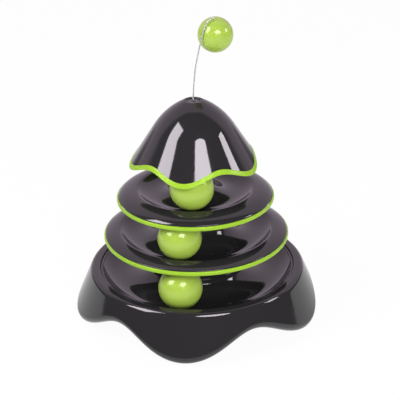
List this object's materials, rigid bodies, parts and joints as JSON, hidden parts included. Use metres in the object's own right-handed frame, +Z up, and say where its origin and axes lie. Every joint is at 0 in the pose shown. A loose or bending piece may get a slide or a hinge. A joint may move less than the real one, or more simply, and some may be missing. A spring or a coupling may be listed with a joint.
{
  "type": "cat spring toy",
  "caption": "Cat toy tower: ball tracks with coloured rims stacked on a lobed base, under a wavy-rimmed dome that carries a ball on a springy wire",
  "frame": {"origin": "on the tower's axis, at the floor that the pads stand on", "axes": "+Z up along the tower's axis, -Y to the front, where a foot points, +X to the right seen from the front"},
  "size_m": [0.227, 0.2229, 0.2822],
  "materials": {
    "black_plastic": "polished moulded plastic, near black",
    "lime_plastic": "glossy moulded plastic, lime green",
    "lime_band": "satin moulded plastic, lime green",
    "spring_steel": "bright drawn spring wire",
    "pad_rubber": "soft matt rubber"
  },
  "bodies": {
    "tower_base": {"base_shell": "black_plastic", "base_track": "black_plastic", "foot_pads": "pad_rubber"},
    "middle_tier": {"middle_track": "black_plastic", "middle_rim": "lime_band"},
    "upper_tier": {"upper_track": "black_plastic", "upper_rim": "lime_band"},
    "dome": {"dome_cap": "black_plastic", "dome_rim": "lime_band", "wire_plug": "black_plastic", "wire_foot": "spring_steel"},
    "wire_link": {"wire_lower": "spring_steel"},
    "wire_arm": {"wire_upper": "spring_steel", "wire_tip": "spring_steel", "wire_stop_bead": "spring_steel"},
    "top_ball": {"top_ball_upper_half": "lime_plastic", "top_ball_lower_half": "lime_plastic"},
    "lower_ball": {"lower_ball_half_a": "lime_plastic", "lower_ball_half_b": "lime_plastic"},
    "middle_ball": {"middle_ball_half_a": "lime_plastic", "middle_ball_half_b": "lime_plastic"},
    "upper_ball": {"upper_ball_half_a": "lime_plastic", "upper_ball_half_b": "lime_plastic"}
  },
  "joints": [
    {"name": "middle_lift", "type": "slide", "parent": "tower_base", "child": "middle_tier", "axis": [0, 0, 1], "range_m": [0, 0.03]},
    {"name": "upper_lift", "type": "slide", "parent": "middle_tier", "child": "upper_tier", "axis": [0, 0, 1], "range_m": [0, 0.03]},
    {"name": "dome_lift", "type": "slide", "parent": "upper_tier", "child": "dome", "axis": [0, 0, 1], "range_m": [0, 0.03]},
    {"name": "lower_ball_orbit", "type": "hinge", "parent": "tower_base", "child": "lower_ball", "pos_m": [0, 0, 0], "axis": [0, 0, 1], "continuous": true},
    {"name": "middle_ball_orbit", "type": "hinge", "parent": "middle_tier", "child": "middle_ball", "pos_m": [0, 0, 0], "axis": [0, 0, 1], "continuous": true},
    {"name": "upper_ball_orbit", "type": "hinge", "parent": "upper_tier", "child": "upper_ball", "pos_m": [0, 0, 0], "axis": [0, 0, 1], "continuous": true},
    {"name": "wire_sway_side", "type": "hinge", "parent": "dome", "child": "wire_link", "pos_m": [0, 0, 0.216], "axis": [0, 1, 0], "range_deg": [-45, 45], "stiffness_Nm_per_rad": 0.35},
    {"name": "wire_sway_fore", "type": "hinge", "parent": "wire_link", "child": "wire_arm", "pos_m": [0.0022, 0.0003, 0.236], "axis": [1, 0, 0], "range_deg": [-45, 45], "stiffness_Nm_per_rad": 0.35},
    {"name": "top_ball_spin", "type": "hinge", "parent": "wire_arm", "child": "top_ball", "pos_m": [0.0192, 0.0147, 0.2645], "axis": [-0.04, -0.3399, 0.9396], "continuous": true}
  ]
}
